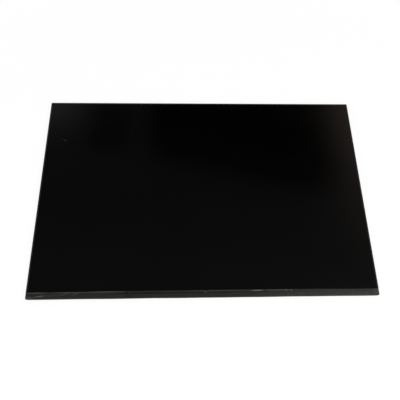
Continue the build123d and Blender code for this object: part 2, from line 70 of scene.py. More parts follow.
# Camera, fitted to the panel's four corners in the photograph
image_px = 400
focal_px = 399.81
camera_pitch = math.radians(68.856)
camera_roll = math.radians(5.27)
camera_yaw = math.radians(5.882)
camera_aim = Vector((-2.038 * MM, -7.434 * MM, 0))
camera_distance = 381.6 * MM
sensor_mm = 36.0

# Picture area on the face
side_border = 2.6 * MM
top_border = 2.3 * MM
lower_border = 6.6 * MM
border_softness = 0.2 * MM

# Lamps in a row beside the light guide, each with a cup that faces it
lamp_pitch = 6.25 * MM
lamp_width = 3.8 * MM
cup_rim = 0.12 * MM
cup_depth = 0.3 * MM
cup_softness = 0.02 * MM

# Copper on the driver board: tracks along it that jog sideways now and then, and scattered vias
track_pitch = 0.6 * MM
jog_swing = 13 * MM
jog_start = 6 * MM
jog_depth = 1.8 * MM
via_spacing = 2.6 * MM

# Patterns in the finishes: the middle range, where most values of a cloudy pattern lie, and the share of
# its squared radius within which a spot is full
pattern_middle = (0.3, 0.7)
spot_core = 0.1

# Lower tape: its section
tape_t = 0.07 * MM
step_lead = 0.06 * MM
step_run = 0.4 * MM
front_bend = 0.9 * MM
rear_bend = 0.5 * MM
plan_corner = 0.8 * MM
end_round = 0.15 * MM
corner_reach = 3.0 * MM
# How finely the tape is divided: along it, round its corners in degrees, and on each stretch of its section
station_gap = 0.5 * MM
turn_step = 15
lap_points = 6
step_points = 8
strip_points = 24
front_points = 10
wall_points = 6
rear_points = 6
back_points = 8
# The lap was cut a little narrower towards both ends: how much, and between which places
left_dip = 0.5 * MM
left_dip_run = (-82 * MM, -108 * MM)
right_dip = 0.55 * MM
right_dip_run = (88 * MM, 130 * MM)
dip_end = 1.5 * MM
# A small nick in the lap's edge near its middle
nick_place = 0.4 * MM
nick_width = 1.0 * MM
nick_depth = 0.45 * MM

# Creases of the lower tape: a sag between the driver films, waves, a bulge at the front, a long swell over
# the driver films, folds at the ends, and blisters
sag_depth = 0.03 * MM
sag_softness = 1.6 * MM
wave_height = 0.035 * MM
wave_length = 17 * MM
wave_width = 1.7 * MM
wave_calm = 0.65
calm_run = (45 * MM, 85 * MM)
front_bulge = 0.28 * MM
bulge_wander = 0.16 * MM
bulge_length = 31 * MM
bulge_row = 5
swell_rise = (-106 * MM, -92 * MM)
swell_fall = (60 * MM, 5 * MM)
swell_foot = 5.0 * MM
swell_top = 3.4 * MM
swell_front = 0.9 * MM
swell_loss = 0.45
swell_high = 0.33 * MM
swell_low = 0.04 * MM
fold_height = 0.22 * MM
fold_width = 0.4 * MM
fold_fade = 0.25
# Each fold runs between two points, given as x and edge
corner_folds = (
    (Vector((-147.5 * MM, 1.2 * MM)), Vector((-121.0 * MM, 3.9 * MM))),
    (Vector((145.2 * MM, 0.3 * MM)), Vector((140.8 * MM, 3.9 * MM))),
)
# Each blister: x, edge, half length, half width and height, in millimetres. The last is a dent.
blisters = (
    (45.6, 4.98, 4.2, 0.42, 0.16),
    (71.1, 5.04, 0.9, 0.3, 0.115),
    (75.5, 5.04, 0.9, 0.3, 0.115),
    (0.4, 4.3, 0.7, 0.4, 0.12),
    (-67.4, 4.2, 1.4, 0.8, -0.3),
)
# Faint olive tint of the lower tape's grey
tape_tint = (1.0, 1.02, 0.905)
# Each spot painted on the tape, most of them painted highlights and painted shade on its lap, blisters,
# folds and creases: x, edge, half length and half width in millimetres, slant in degrees, and its greyness
tape_spots = (
    # A painted lighter right part, where more light falls, and painted highlights at both ends
    (115.0, 1.5, 80.0, 4.6, 0, 0.019),
    (-150.0, 1.3, 5.0, 1.3, 0, 0.033),
    (151.5, 3.6, 5.0, 3.4, 0, 0.028),
    # Painted highlights along the lap, where its step catches the light
    (-144.5, 5.35, 10.0, 0.6, 0, 0.042),
    (-117.0, 5.35, 14.0, 0.6, 0, 0.04),
    (-90.0, 5.65, 27.0, 0.6, 0, 0.045),
    (13.0, 5.75, 32.0, 0.5, 0, 0.03),
    (64.0, 5.65, 16.0, 0.5, 0, 0.04),
    # Painted glints on the blisters
    (0.4, 4.5, 1.4, 0.7, 0, 0.045),
    (45.6, 5.35, 6.5, 0.5, 0, 0.12),
    (71.1, 5.3, 1.3, 0.5, 0, 0.07),
    (75.5, 5.3, 1.3, 0.5, 0, 0.07),
    # Pale slanting streaks, and painted highlights on the ridges of the folds at the ends
    (-141.5, 2.4, 6.0, 0.55, 6, 0.065),
    (-119.0, 4.3, 8.0, 0.6, 16, 0.03),
    (-111.5, 3.8, 5.0, 0.5, 22, 0.035),
    (143.6, 1.6, 2.2, 0.5, -39, 0.045),
    # Painted shade in a band under the lap and in the dent within it, a slanting darker patch low down, a
    # small darker patch on the lap, and painted shade in the creases beside the long blister and the right
    # fold
    (-52.0, 4.3, 34.0, 0.9, 0, 0.004),
    (-67.3, 4.3, 2.3, 1.7, 0, 0.0003),
    (-65.5, 1.8, 5.0, 1.3, 10, 0.006),
    (-23.0, 5.0, 0.8, 0.7, 0, 0.001),
    (46.5, 4.5, 6.5, 0.5, 0, 0.001),
    (145.9, 1.3, 2.4, 0.5, -50, 0.005),
)

# Each scuff on the face: x, y, half length and half width in millimetres, slant in degrees, and its greyness
scuffs = (
    (-134.8, 54.9, 1.7, 0.7, 30, 0.022),
    (-137.3, 56.4, 0.9, 0.8, 0, 0.008),
    (147.6, 55.4, 2.4, 0.6, 2, 0.004),
)

# Studio floor
floor_reach = 4.0
floor_cells = 8
floor_gap = 0.02 * MM
floor_mottle = 0.4
floor_greys = (0.94, 0.96)
floor_white_near = 0.84
floor_fade = (0.17, 0.42)

# Each studio lamp: its name, its place, the point that it faces, its size and its power
studio_lamps = (
    ("key", Vector((0.31, -0.31, 0.55)), Vector((0.03, -0.05, 0.0)), 0.42, 1.7),
    ("fill", Vector((-0.90, -0.35, 0.70)), Vector((0.0, 0.0, 0.0)), 0.7, 3.0),
)

# Room: pale walls, and a dim ceiling that the screen mirrors. A ceiling place is told by how far it lies to
# the right (across) and away, for each unit of height. A pair holds the places where a light or a shade
# starts and where it is full, or the levels at two such places.
least_height = 0.05
wall_heights = (0.6, 0.35)
wall_level = 1.0
ceiling_away = (0.1, 0.45)
ceiling_levels = (0.33, 0.235)
near_away = (-0.1, -0.9)
near_across = (-0.6, 0.6)
near_levels = (0.85, 0.15)
# Dark parts of the ceiling: one with a slanting near edge, a narrow one to its left, and all that is far back
slanted_left = (-0.125, -0.075)
slanted_right = (0.54, 0.38)
slanted_away = (0.46, 0.53)
slanted_slope = 0.23
slanted_depth = 0.94
narrow_across = (-0.27, -0.165)
narrow_away = (0.52, 0.56)
narrow_softness = 0.02
narrow_depth = 0.6
back_away = (0.69, 0.78)
back_depth = 0.94
# Glows on the ceiling: a faint one to the right, one in front, one at the far left and a warm one
faint_across = (0.05, 0.25)
faint_away = (0.28, 0.13)
faint_level = 0.07
front_across = (0.15, 0.45)
front_away = (-0.5, 0.05)
front_softness = 0.08
front_level = 1.6
left_across = (-0.24, -0.40)
left_away = (0.55, 0.72)
left_level = 0.9
warm_rise = (0.29, 0.56)
warm_fall = (1.0, 0.6)
warm_away = (0.15, 0.72)
warm_levels = (0.2, 1.8)
warm_tint = (1.0, 0.80, 0.69)

# Places of the lower tape, from the frame: its lap, strip, step and front wall, and what it meets
tape_low, tape_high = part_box("lower_edge_tape")
lap_edge = tape_high.y - tape_low.y
strip_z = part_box("driver_film_1")[1].z + tape_t
step_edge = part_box("colour_filter_glass")[0].y - tape_low.y - step_lead
wall_low = tape_low.z + rear_bend
wall_high = strip_z - front_bend
side_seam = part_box("right_edge_tape")[0].y - tape_high.y
glass_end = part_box("colour_filter_glass")[1].x
driver_films = [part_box(name) for name in frame["nodes"] if name.startswith("driver_film_")]


def grey(level):
    """Give an even grey as a colour."""
    return (level, level, level, 1.0)


def rgb(red, green, blue):
    """Give a colour with full opacity."""
    return (red, green, blue, 1.0)


def tape_grey(level):
    """Give the lower tape's grey, which is faintly olive."""
    return rgb(*(level * share for share in tape_tint))


class Graph:
    """A shader's node tree, with short calls that each add a node and give its output."""

    def __init__(self, tree, coordinate):
        self.tree = tree
        self.place = self.add("ShaderNodeTexCoord").outputs[coordinate]
        self.axes = self.add("ShaderNodeSeparateXYZ", {"Vector": self.place}).outputs

    def feed(self, socket, value):
        """Link a socket to another node's output, or set its value."""
        if isinstance(value, bpy.types.NodeSocket):
            self.tree.links.new(value, socket)
        else:
            socket.default_value = value

    def add(self, kind, inputs=None, **settings):
        """Add a node with the given settings and inputs."""
        node = self.tree.nodes.new(kind)
        for name, value in settings.items():
            setattr(node, name, value)
        for socket, value in (inputs or {}).items():
            self.feed(node.inputs[socket], value)
        return node

    def math(self, operation, first, second=0.0):
        """Work out one sum, product or other operation."""
        return self.add("ShaderNodeMath", {0: first, 1: second}, operation=operation).outputs[0]

    def product(self, *factors):
        """Multiply several values."""
        result = factors[0]
        for factor in factors[1:]:
            result = self.math("MULTIPLY", result, factor)
        return result

    def total(self, *terms):
        """Add several values."""
        result = terms[0]
        for term in terms[1:]:
            result = self.math("ADD", result, term)
        return result

    def smooth(self, source, start, stop, low=0.0, high=1.0):
        """Go smoothly from low to high while the source goes from start to stop."""
        inputs = {"Value": source, "From Min": start, "From Max": stop, "To Min": low, "To Max": high}
        return self.add("ShaderNodeMapRange", inputs, interpolation_type="SMOOTHSTEP").outputs[0]

    def between(self, source, start, stop, softness):
        """Give 1 between two bounds of the source, and 0 outside them, with soft edges."""
        rise = self.smooth(source, start - softness, start + softness)
        fall = self.smooth(source, stop - softness, stop + softness, 1.0, 0.0)
        return self.product(rise, fall)

    def scaled(self, size, stretch=(1, 1, 1)):
        """Give the place in units of a feature's size, drawn out along the axes by the stretch."""
        scale = [1 / (size * factor) for factor in stretch]
        return self.add("ShaderNodeMapping", {"Vector": self.place, "Scale": scale}).outputs[0]

    def noise(self, size, stretch=(1, 1, 1), detail=2.0):
        """Give a cloudy pattern of the given size."""
        inputs = {"Vector": self.scaled(size, stretch), "Scale": 1.0, "Detail": detail}
        return self.add("ShaderNodeTexNoise", inputs).outputs[0]

    def cells(self, size):
        """Give the distance to the nearest of many scattered points, which lie about one size apart."""
        inputs = {"Vector": self.scaled(size), "Scale": 1.0}
        return self.add("ShaderNodeTexVoronoi", inputs).outputs["Distance"]

    def stripes(self, source, pitch, share):
        """Give 1 on stripes that take up a share of each pitch of the source, and 0 between them."""
        phase = self.math("FRACT", self.math("DIVIDE", source, pitch))
        return self.math("LESS_THAN", phase, share)

    def mix(self, factor, low, high):
        """Mix two colours."""
        node = self.add("ShaderNodeMix", {0: factor, 6: low, 7: high}, data_type="RGBA")
        return node.outputs[2]


class Finish(Graph):
    """A material with one surface shader."""

    def __init__(self, name, settings=None):
        self.material = bpy.data.materials.new(name)
        self.material.use_nodes = True
        self.surface = self.material.node_tree.nodes["Principled BSDF"]
        super().__init__(self.material.node_tree, "Object")
        self.set(settings or {})

    def set(self, settings):
        """Set or link the surface shader's sockets."""
        for socket, value in settings.items():
            self.feed(self.surface.inputs[socket], value)

    def colour(self, value):
        """Set the surface's colour."""
        self.set({"Base Color": value})

    def roughness(self, pattern, low, high, middle=pattern_middle):
        """Let the roughness go from low to high over the middle values of a pattern."""
        self.set({"Roughness": self.smooth(pattern, *middle, low, high)})

    def bump(self, height, depth):
        """Raise the surface by a pattern, to the given depth."""
        node = self.add("ShaderNodeBump", {"Height": height, "Distance": depth})
        self.set({"Normal": node.outputs["Normal"]})

    def spot(self, x, y, half_length, half_width, slant):
        """Give 1 at the middle of a slanting oval spot on the face, fading to 0 at its rim."""
        turn = math.radians(slant)
        right = self.math("SUBTRACT", self.axes[0], x)
        up = self.math("SUBTRACT", self.axes[1], y)
        along = self.total(self.product(right, math.cos(turn)), self.product(up, math.sin(turn)))
        across = self.total(self.product(up, math.cos(turn)), self.product(right, -math.sin(turn)))
        along = self.math("POWER", self.math("DIVIDE", along, half_length), 2)
        across = self.math("POWER", self.math("DIVIDE", across, half_width), 2)
        return self.smooth(self.total(along, across), 1.0, spot_core)

    def marked(self, base, marks, foot, tone):
        """Lay spots over a colour, each with its own tone. Their heights on the face count from a foot."""
        for x, y, half_length, half_width, slant, greyness in marks:
            spot = self.spot(x * MM, foot + y * MM, half_length * MM, half_width * MM, slant)
            base = self.mix(spot, base, tone(greyness))
        return base

    def picture(self):
        """Give 1 in the picture area and 0 on the border round it."""
        low, high = cad_box
        across = self.between(self.axes[0], low[0] + side_border, high[0] - side_border, border_softness)
        along = self.between(self.axes[1], low[1] + lower_border, high[1] - top_border, border_softness)
        return self.product(across, along)


def screen_film():
    """Front polariser: nearly black, with a low-reflection coat, a fine grain and faint wipe marks."""
    finish = Finish("screen_film", {"Specular IOR Level": 0.125, "IOR": 1.5})
    wipes = finish.noise(38 * MM, stretch=(2.2, 1, 1), detail=4)
    haze = finish.smooth(wipes, 0.35, 0.75)
    film = finish.mix(haze, grey(0.00035), grey(0.0006))
    face = finish.mix(finish.picture(), grey(0.0002), film)
    finish.colour(finish.marked(face, scuffs, 0.0, grey))
    finish.roughness(wipes, 0.09, 0.13)
    finish.bump(finish.noise(0.12 * MM), 0.0006 * MM)
    return finish.material


def panel_glass():
    """Glass of the cell: clear over the picture, with a black printed border."""
    finish = Finish("panel_glass", {"Specular IOR Level": 0.15, "IOR": 1.51, "Roughness": 0.02})
    picture = finish.picture()
    tint = finish.mix(finish.noise(60 * MM), rgb(0.62, 0.70, 0.67), rgb(0.68, 0.74, 0.72))
    finish.colour(finish.mix(picture, grey(0.002), tint))
    finish.set({"Transmission Weight": picture})
    return finish.material


def polarising_film():
    """Rear polariser: a smooth, smoke-grey film."""
    finish = Finish("polarising_film", {"IOR": 1.5})
    cloud = finish.noise(25 * MM, detail=3)
    finish.colour(finish.mix(cloud, rgb(0.042, 0.042, 0.05), rgb(0.058, 0.058, 0.06)))
    finish.roughness(cloud, 0.12, 0.2)
    return finish.material


def grey_tape():
    """Lower tape: satin dark grey film, drawn slightly in its length, with dust in its grain."""
    finish = Finish("grey_tape", {"Specular IOR Level": 0.3, "IOR": 1.5})
    drawn = finish.noise(1.1 * MM, stretch=(14, 1, 1), detail=3)
    dust = finish.smooth(finish.noise(0.5 * MM, detail=4), 0.62, 0.8)
    film = finish.mix(drawn, tape_grey(0.009), tape_grey(0.0135))
    film = finish.mix(finish.product(dust, 0.25), film, tape_grey(0.03))
    # Lay the painted highlights and painted shade of the lap, blisters, folds and creases over the film
    finish.colour(finish.marked(film, tape_spots, cad_box[0][1], tape_grey))
    finish.roughness(drawn, 0.22, 0.30)
    finish.bump(finish.noise(0.16 * MM, detail=3), 0.004 * MM)
    return finish.material


def black_tape():
    """Edge tapes: matt black film with a fine grain."""
    finish = Finish("black_tape", {"Specular IOR Level": 0.35, "IOR": 1.5})
    patch = finish.noise(6 * MM, detail=3)
    finish.colour(finish.mix(patch, grey(0.005), grey(0.010)))
    finish.roughness(patch, 0.5, 0.62)
    finish.bump(finish.noise(0.14 * MM, detail=3), 0.004 * MM)
    return finish.material


def tray_metal():
    """Tray: rolled metal sheet with fine streaks along the panel and a soft, uneven sheen."""
    finish = Finish("tray_metal", {"Metallic": 1.0, "Anisotropic": 0.35})
    streak = finish.noise(0.22 * MM, stretch=(170, 1, 1), detail=3)
    cloud = finish.noise(18 * MM, stretch=(2, 1, 1), detail=4)
    finish.colour(finish.mix(cloud, rgb(0.53, 0.535, 0.54), rgb(0.66, 0.665, 0.67)))
    finish.roughness(streak, 0.27, 0.44, middle=(0.25, 0.75))
    finish.bump(streak, 0.003 * MM)
    return finish.material


def frame_plastic():
    """Mould frame: white moulded plastic with a fine spark-eroded texture."""
    finish = Finish("frame_plastic", {"IOR": 1.58})
    flow = finish.noise(9 * MM, stretch=(3, 1, 1), detail=3)
    finish.colour(finish.mix(flow, rgb(0.77, 0.77, 0.745), rgb(0.82, 0.82, 0.80)))
    finish.roughness(flow, 0.42, 0.55)
    finish.bump(finish.noise(0.1 * MM, detail=3), 0.005 * MM)
    return finish.material


def white_sheet():
    """Reflector: matt white film with a faint pearly mottle."""
    finish = Finish("white_sheet", {"IOR": 1.5})
    mottle = finish.noise(3 * MM, detail=4)
    finish.colour(finish.mix(mottle, grey(0.86), grey(0.9)))
    finish.roughness(mottle, 0.5, 0.65)
    return finish.material


def guide_plastic():
    """Light guide: clear plastic with a pattern of tiny dots that let the light out."""
    finish = Finish("guide_plastic", {"IOR": 1.49, "Transmission Weight": 1.0, "Roughness": 0.03})
    dots = finish.smooth(finish.cells(0.4 * MM), 0.18, 0.28, 1.0, 0.0)
    finish.colour(finish.mix(dots, rgb(0.93, 0.97, 0.97), rgb(0.98, 0.99, 0.99)))
    finish.bump(dots, 0.01 * MM)
    return finish.material


def optical_film():
    """Diffuser and prism sheets: pearly clear film with fine ridges along the panel."""
    finish = Finish("optical_film", {"IOR": 1.55, "Transmission Weight": 0.7})
    haze = finish.noise(14 * MM, detail=3)
    ridge_width = 0.05 * MM
    ridges = finish.math("PINGPONG", finish.axes[1], ridge_width)
    finish.colour(finish.mix(haze, rgb(0.82, 0.84, 0.84), rgb(0.88, 0.89, 0.89)))
    finish.roughness(haze, 0.28, 0.4)
    finish.bump(finish.math("DIVIDE", ridges, ridge_width), 0.02 * MM)
    return finish.material


def flex_circuit():
    """Lamp circuit: white coverlay over copper tracks that show as faint warm bands."""
    finish = Finish("flex_circuit", {"IOR": 1.5, "Roughness": 0.42})
    tracks = finish.stripes(finish.axes[1], 0.55 * MM, 0.6)
    paint = finish.noise(2 * MM, detail=3)
    cover = finish.mix(paint, rgb(0.80, 0.79, 0.74), rgb(0.85, 0.84, 0.80))
    finish.colour(finish.mix(finish.product(tracks, 0.5), cover, rgb(0.78, 0.66, 0.45)))
    finish.bump(tracks, 0.01 * MM)
    return finish.material


def lamp_body():
    """Lamps: white cases with a yellow phosphor window in the cup that faces the light guide."""
    finish = Finish("lamp_body", {"IOR": 1.5, "Roughness": 0.45})
    low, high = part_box("lamps")
    from_last = finish.math("SUBTRACT", finish.axes[0], high.x - lamp_width / 2)
    from_lamp = finish.math("PINGPONG", from_last, lamp_pitch / 2)
    across = finish.math("LESS_THAN", from_lamp, lamp_width / 2 - cup_rim)
    upright = finish.between(finish.axes[2], low.z + cup_rim, high.z - cup_rim, cup_softness)
    inside = finish.math("GREATER_THAN", finish.axes[1], high.y - cup_depth - cup_softness)
    window = finish.product(across, upright, inside)
    grain = finish.noise(0.08 * MM, detail=2)
    phosphor = finish.mix(grain, rgb(0.86, 0.70, 0.18), rgb(0.94, 0.80, 0.30))
    finish.colour(finish.mix(window, rgb(0.86, 0.85, 0.80), phosphor))
    return finish.material


def driver_film():
    """Driver films: amber film with fine copper tracks that run round the bend."""
    finish = Finish("driver_film", {"IOR": 1.6, "Roughness": 0.3})
    tracks = finish.stripes(finish.axes[0], 0.3 * MM, 0.55)
    tone = finish.noise(5 * MM, detail=3)
    amber = finish.mix(tone, rgb(0.13, 0.065, 0.022), rgb(0.19, 0.095, 0.035))
    finish.colour(finish.mix(tracks, amber, rgb(0.30, 0.17, 0.06)))
    finish.bump(tracks, 0.006 * MM)
    return finish.material


def bare_chip():
    """Driver chips: polished silicon with a faint grid of circuit blocks."""
    finish = Finish("bare_chip", {"IOR": 1.8, "Metallic": 0.35, "Roughness": 0.16})
    columns = finish.stripes(finish.axes[0], 0.9 * MM, 0.85)
    rows = finish.stripes(finish.axes[1], 0.35 * MM, 0.8)
    blocks = finish.product(columns, rows)
    finish.colour(finish.mix(blocks, rgb(0.10, 0.10, 0.11), rgb(0.065, 0.068, 0.08)))
    return finish.material


def board():
    """Driver board: green solder mask over copper areas, bundles of tracks with slanting jogs, and vias."""
    finish = Finish("board", {"IOR": 1.5, "Coat Weight": 0.5, "Coat Roughness": 0.12})
    swing = finish.math("PINGPONG", finish.axes[0], jog_swing)
    jog = finish.math("MAXIMUM", finish.math("SUBTRACT", swing, jog_start), 0.0)
    jog = finish.math("MINIMUM", jog, jog_depth)
    lines = finish.stripes(finish.total(finish.axes[1], jog), track_pitch, 0.5)
    bundles = finish.smooth(finish.noise(8 * MM, stretch=(4, 1, 1)), 0.47, 0.48)
    areas = finish.smooth(finish.noise(9 * MM, stretch=(2, 1, 1)), 0.57, 0.58)
    vias = finish.smooth(finish.cells(via_spacing), 0.10, 0.12, 1.0, 0.0)
    copper = finish.math("MAXIMUM", finish.product(lines, bundles), areas)
    mask = finish.mix(copper, rgb(0.006, 0.050, 0.022), rgb(0.014, 0.095, 0.040))
    finish.colour(finish.mix(vias, mask, rgb(0.035, 0.165, 0.07)))
    finish.roughness(finish.noise(1.5 * MM), 0.3, 0.42)
    finish.bump(finish.math("MAXIMUM", copper, vias), 0.02 * MM)
    return finish.material


def board_adhesive():
    """Tape between board and tray: pale tissue with an adhesive sheen."""
    finish = Finish("board_adhesive", {"IOR": 1.5, "Roughness": 0.6})
    fibres = finish.noise(0.3 * MM, stretch=(5, 1, 1), detail=4)
    finish.colour(finish.mix(fibres, rgb(0.48, 0.47, 0.43), rgb(0.60, 0.59, 0.55)))
    finish.bump(fibres, 0.01 * MM)
    return finish.material


def cover_film():
    """Board cover: thin black film with a satin embossed grain."""
    finish = Finish("cover_film", {"IOR": 1.5, "Specular IOR Level": 0.45})
    tone = finish.noise(12 * MM, detail=4)
    finish.colour(finish.mix(tone, rgb(0.009, 0.009, 0.010), rgb(0.015, 0.015, 0.016)))
    finish.roughness(tone, 0.34, 0.48)
    finish.bump(finish.cells(0.35 * MM), 0.008 * MM)
    return finish.material


def chip_package():
    """Chip packages: black moulded resin with a fine sandy face."""
    finish = Finish("chip_package", {"IOR": 1.5})
    sand = finish.noise(0.06 * MM, detail=3)
    finish.colour(finish.mix(sand, grey(0.013), grey(0.024)))
    finish.roughness(sand, 0.5, 0.7)
    finish.bump(sand, 0.006 * MM)
    return finish.material


def ferrite():
    """Inductors: dark pressed powder with glinting grains."""
    finish = Finish("ferrite", {"IOR": 1.7, "Metallic": 0.2})
    grains = finish.cells(0.12 * MM)
    finish.colour(finish.mix(grains, rgb(0.085, 0.083, 0.08), rgb(0.045, 0.044, 0.043)))
    finish.roughness(grains, 0.4, 0.65, middle=(0.1, 0.6))
    finish.bump(grains, 0.01 * MM)
    return finish.material


def capacitor_body():
    """Capacitors: tan fired ceramic."""
    finish = Finish("capacitor_body", {"IOR": 1.6})
    tone = finish.noise(0.3 * MM, detail=4)
    finish.colour(finish.mix(tone, rgb(0.34, 0.23, 0.14), rgb(0.46, 0.33, 0.21)))
    finish.roughness(tone, 0.42, 0.55)
    return finish.material


def resistor_body():
    """Resistors: black glaze on ceramic."""
    finish = Finish("resistor_body", {"IOR": 1.55})
    tone = finish.noise(0.2 * MM, detail=3)
    finish.colour(finish.mix(tone, rgb(0.022, 0.022, 0.026), rgb(0.038, 0.038, 0.044)))
    finish.roughness(tone, 0.28, 0.4)
    return finish.material


def insulator():
    """Receptacle block: black moulded plastic with faint flow marks."""
    finish = Finish("insulator", {"IOR": 1.6})
    flow = finish.noise(0.4 * MM, stretch=(6, 1, 1), detail=3)
    finish.colour(finish.mix(flow, grey(0.015), grey(0.026)))
    finish.roughness(flow, 0.4, 0.55)
    finish.bump(finish.noise(0.06 * MM), 0.004 * MM)
    return finish.material


def shell_metal():
    """Receptacle shell: tin-plated sheet with a cloudy sheen and fine draw marks."""
    finish = Finish("shell_metal", {"Metallic": 1.0, "Anisotropic": 0.25})
    cloud = finish.noise(1.2 * MM, detail=4)
    finish.colour(finish.mix(cloud, rgb(0.60, 0.59, 0.56), rgb(0.72, 0.71, 0.69)))
    finish.roughness(cloud, 0.22, 0.36)
    finish.bump(finish.noise(0.05 * MM, stretch=(12, 1, 1)), 0.002 * MM)
    return finish.material


def contact_metal():
    """Receptacle contacts: gold plating."""
    finish = Finish("contact_metal", {"Metallic": 1.0})
    tone = finish.noise(0.15 * MM, detail=3)
    finish.colour(finish.mix(tone, rgb(0.76, 0.55, 0.20), rgb(0.86, 0.66, 0.30)))
    finish.roughness(tone, 0.18, 0.3)
    return finish.material


finish_makers = (
    screen_film,
    panel_glass,
    polarising_film,
    grey_tape,
    black_tape,
    tray_metal,
    frame_plastic,
    white_sheet,
    guide_plastic,
    optical_film,
    flex_circuit,
    lamp_body,
    driver_film,
    bare_chip,
    board,
    board_adhesive,
    cover_film,
    chip_package,
    ferrite,
    capacitor_body,
    resistor_body,
    insulator,
    shell_metal,
    contact_metal,
)
finishes = {maker.__name__: maker() for maker in finish_makers}


def dress_nodes():
    """Give every solid of the frame the finish of its material slot."""
    for subpart in frame["record"]["subparts"]:
        node = frame["nodes"][subpart["node"]]
        for slot in node.material_slots:
            slot.material = finishes[subpart["material_slot"]]


def add_piece(name, shape, slot):
    """Turn a built mesh into a smooth piece that rides on the panel and takes a slot's finish."""
    mesh = bpy.data.meshes.new(name)
    shape.to_mesh(mesh)
    shape.free()
    mesh.shade_smooth()
    mesh.materials.append(finishes[slot])
    piece = bpy.data.objects.new(name, mesh)
    bpy.context.scene.collection.objects.link(piece)
    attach(piece, "root")
    return piece


def ease(share):
    """Go smoothly from 0 to 1 while the share goes from 0 to 1."""
    share = min(max(share, 0.0), 1.0)
    return share * share * (3 - 2 * share)


def ease_between(place, reach):
    """Go smoothly from 0 to 1 while the place goes from the first to the second of two bounds."""
    return ease((place - reach[0]) / (reach[1] - reach[0]))


def hump(distance, width):
    """Give a smooth hump, 1 at no distance and nearly 0 past twice its width."""
    return math.exp(-((distance / width) ** 2))


def run(start, end, count):
    """Give points along a straight stretch of a section, without its last one."""
    return [Vector(start).lerp(Vector(end), index / count) for index in range(count)]


def bend(centre, radius, start, count):
    """Give points along a quarter bend of a section, turning left from an angle, without its last one."""
    points = []
    for index in range(count):
        angle = math.radians(start + 90 * index / count)
        points.append(Vector(centre) + radius * Vector((math.cos(angle), math.sin(angle))))
    return points


def tape_section():
    """Give the tape's outer face as edges and heights, from its lap on the glass to its end at the back."""
    top = tape_high.z
    bottom = tape_low.z
    points = run((lap_edge, top), (step_edge, top), lap_points)
    for index in range(step_points):
        share = index / step_points
        points.append(Vector((step_edge - share * step_run, top + (strip_z - top) * ease(share))))
    points += run((step_edge - step_run, strip_z), (front_bend, strip_z), strip_points)
    points += bend((front_bend, wall_high), front_bend, 90, front_points)
    points += run((0, wall_high), (0, wall_low), wall_points)
    points += bend((rear_bend, wall_low), rear_bend, 180, rear_points)
    points += run((rear_bend, bottom), (lap_edge, bottom), back_points)
    points.append(Vector((lap_edge, bottom)))
    return points


def tape_stations():
    """Give places along the tape, each with how far the plan corner has turned there, in degrees."""
    straight = tape_high.x - plan_corner
    turns = range(turn_step, 91, turn_step)
    count = round(2 * straight / station_gap)
    left = [(-straight - plan_corner * math.sin(math.radians(turn)), turn) for turn in reversed(turns)]
    middle = [(-straight + 2 * straight * index / count, 0) for index in range(count + 1)]
    right = [(straight + plan_corner * math.sin(math.radians(turn)), turn) for turn in turns]
    return left + middle + right


def film_share(x):
    """Give 1 over a driver film, 0 between the films."""
    share = 0.0
    for low, high in driver_films:
        share += ease((x - low.x) / sag_softness) * ease((high.x - x) / sag_softness)
    return share


def corner_fold(x, edge):
    """Give the height of the slanting folds where the tape turns down round its ends."""
    height = 0.0
    for start, end in corner_folds:
        along = end - start
        offset = Vector((x, edge)) - start
        share = offset.dot(along) / along.length_squared
        across = offset.cross(along) / along.length
        fade = ease(share / fold_fade) * ease((1 - share) / fold_fade)
        height += fold_height * hump(across, fold_width) * fade
    return height


def swell(x, edge):
    """Give the height of the long swell that the bent driver films press up into the tape."""
    ends = ease_between(x, swell_rise) * ease_between(x, swell_fall)
    height = swell_low + (swell_high - swell_low) * ends
    back = ease((swell_foot - edge) / (swell_foot - swell_top))
    front = 1 - swell_loss * ease((swell_top - edge) / (swell_top - swell_front))
    return height * back * front


def end_fade(x):
    """Give 1 along the tape, going smoothly to 0 at its two ends."""
    return ease((tape_high.x - abs(x)) / corner_reach)


def relief(x, edge):
    """Give the height of the tape's upper face above its plain form."""
    wave = noise.noise(Vector((x / wave_length, edge / wave_width, 0)))
    wave *= wave_height * (1 - wave_calm * ease_between(x, calm_run))
    height = swell(x, edge) + wave + corner_fold(x, edge)
    for place, blister_edge, length, width, rise in blisters:
        height += rise * MM * hump(x - place * MM, length * MM) * hump(edge - blister_edge * MM, width * MM)
    return end_fade(x) * max(height, 0.0) - sag_depth * (1 - film_share(x))


def bulge(x):
    """Give how far the tape bulges at the front, at a place along it."""
    wander = bulge_wander * noise.noise(Vector((x / bulge_length, 0, bulge_row)))
    return (front_bulge + wander) * end_fade(x)


def lap_dip(x):
    """Give how much narrower the lap is at a place. Past the glass it reaches to the side tape's end."""
    dip = left_dip * ease_between(x, left_dip_run) + right_dip * ease_between(x, right_dip_run)
    dip += nick_depth * hump(x - nick_place, nick_width) + side_seam
    return dip * ease((glass_end - abs(x)) / dip_end) - side_seam


def end_drop(x):
    """Give how far the rounding of the tape's ends takes its faces in, at a place along it."""
    over = max(abs(x) - tape_high.x + end_round, 0.0)
    return end_round - math.sqrt(end_round**2 - over**2)


def facing(section, index):
    """Give how far the section faces forwards and upwards at one of its points, each from 0 to 1."""
    before = section[max(index - 1, 0)]
    after = section[min(index + 1, len(section) - 1)]
    along = (after - before).normalized()
    return max(-along.y, 0.0), max(-along.x, 0.0)


